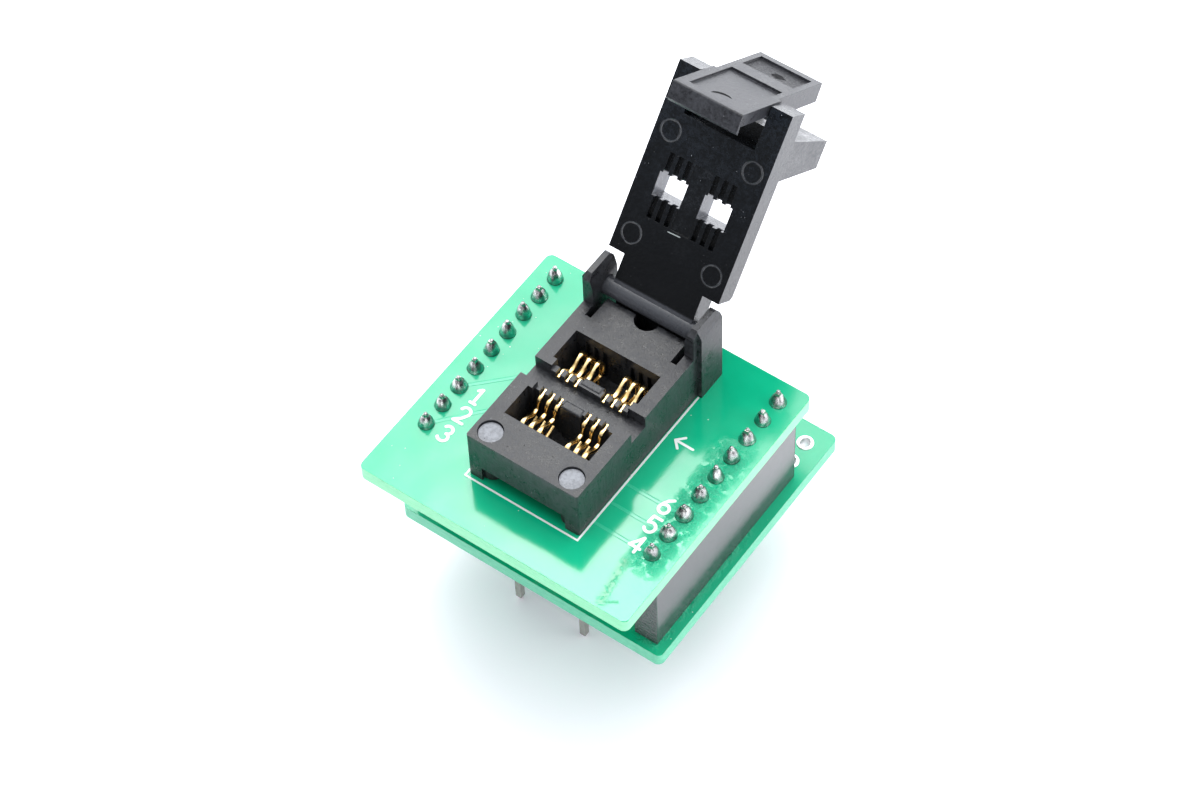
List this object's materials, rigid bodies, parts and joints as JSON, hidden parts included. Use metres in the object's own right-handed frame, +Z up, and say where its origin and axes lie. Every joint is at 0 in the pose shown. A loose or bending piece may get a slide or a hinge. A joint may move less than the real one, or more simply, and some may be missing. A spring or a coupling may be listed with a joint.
{
  "type": "programming socket adapter",
  "caption": "Two stacked square circuit boards with a hinged, latched chip test socket on top and two rows of plug pins below.",
  "frame": {"origin": "centre of the plug's pin pattern, in the plane of the pin tips", "axes": "+Z up through the boards, +X across the pin rows, +Y along the rows towards the cover's hinge"},
  "size_m": [0.03, 0.0484, 0.0509],
  "materials": {
    "board_green": "glossy green solder mask over glass laminate",
    "strip_black": "satin moulded plastic",
    "socket_black": "fine grained moulded plastic",
    "peg_grey": "matt",
    "tinned_metal": "tin plated",
    "solder": "bright hand solder",
    "gold_contact": "gold plated spring strip"
  },
  "bodies": {
    "base": {"bottom_board": "board_green", "dip_joints_left": "solder", "dip_joints_right": "solder", "dip_pins_left": "tinned_metal", "dip_pins_right": "tinned_metal", "dip_strip_left": "strip_black", "dip_strip_right": "strip_black", "female_contacts_left": "gold_contact", "female_contacts_right": "gold_contact", "female_header_left": "strip_black", "female_header_right": "strip_black", "lower_joints_left": "solder", "lower_joints_right": "solder", "spare_pads": "tinned_metal"},
    "deck": {"contact_joints": "solder", "contacts_front_left": "gold_contact", "contacts_front_right": "gold_contact", "contacts_rear_left": "gold_contact", "contacts_rear_right": "gold_contact", "locating_pegs": "peg_grey", "male_pins_left": "tinned_metal", "male_pins_right": "tinned_metal", "male_strip_left": "strip_black", "male_strip_right": "strip_black", "socket_base": "socket_black", "top_board": "board_green", "top_joints_left": "solder", "top_joints_right": "solder"},
    "lid": {"latch_spring": "tinned_metal", "lid": "socket_black"},
    "latch": {"latch_lever": "socket_black"}
  },
  "joints": [
    {"name": "deck_lift", "type": "slide", "parent": "base", "child": "deck", "axis": [0, 0, 1], "range_m": [0, 0.009]},
    {"name": "lid_hinge", "type": "hinge", "parent": "deck", "child": "lid", "pos_m": [0, 0.0062, 0.02982], "axis": [1, 0, 0], "range_deg": [0, 128.2]},
    {"name": "latch_pivot", "type": "hinge", "parent": "lid", "child": "latch", "pos_m": [0, 0.02003, 0.04636], "axis": [-1, 0, 0], "range_deg": [0, 12], "stiffness_Nm_per_rad": 0.01, "springref_deg": -11.46, "deforming": ["latch_spring"]}
  ]
}
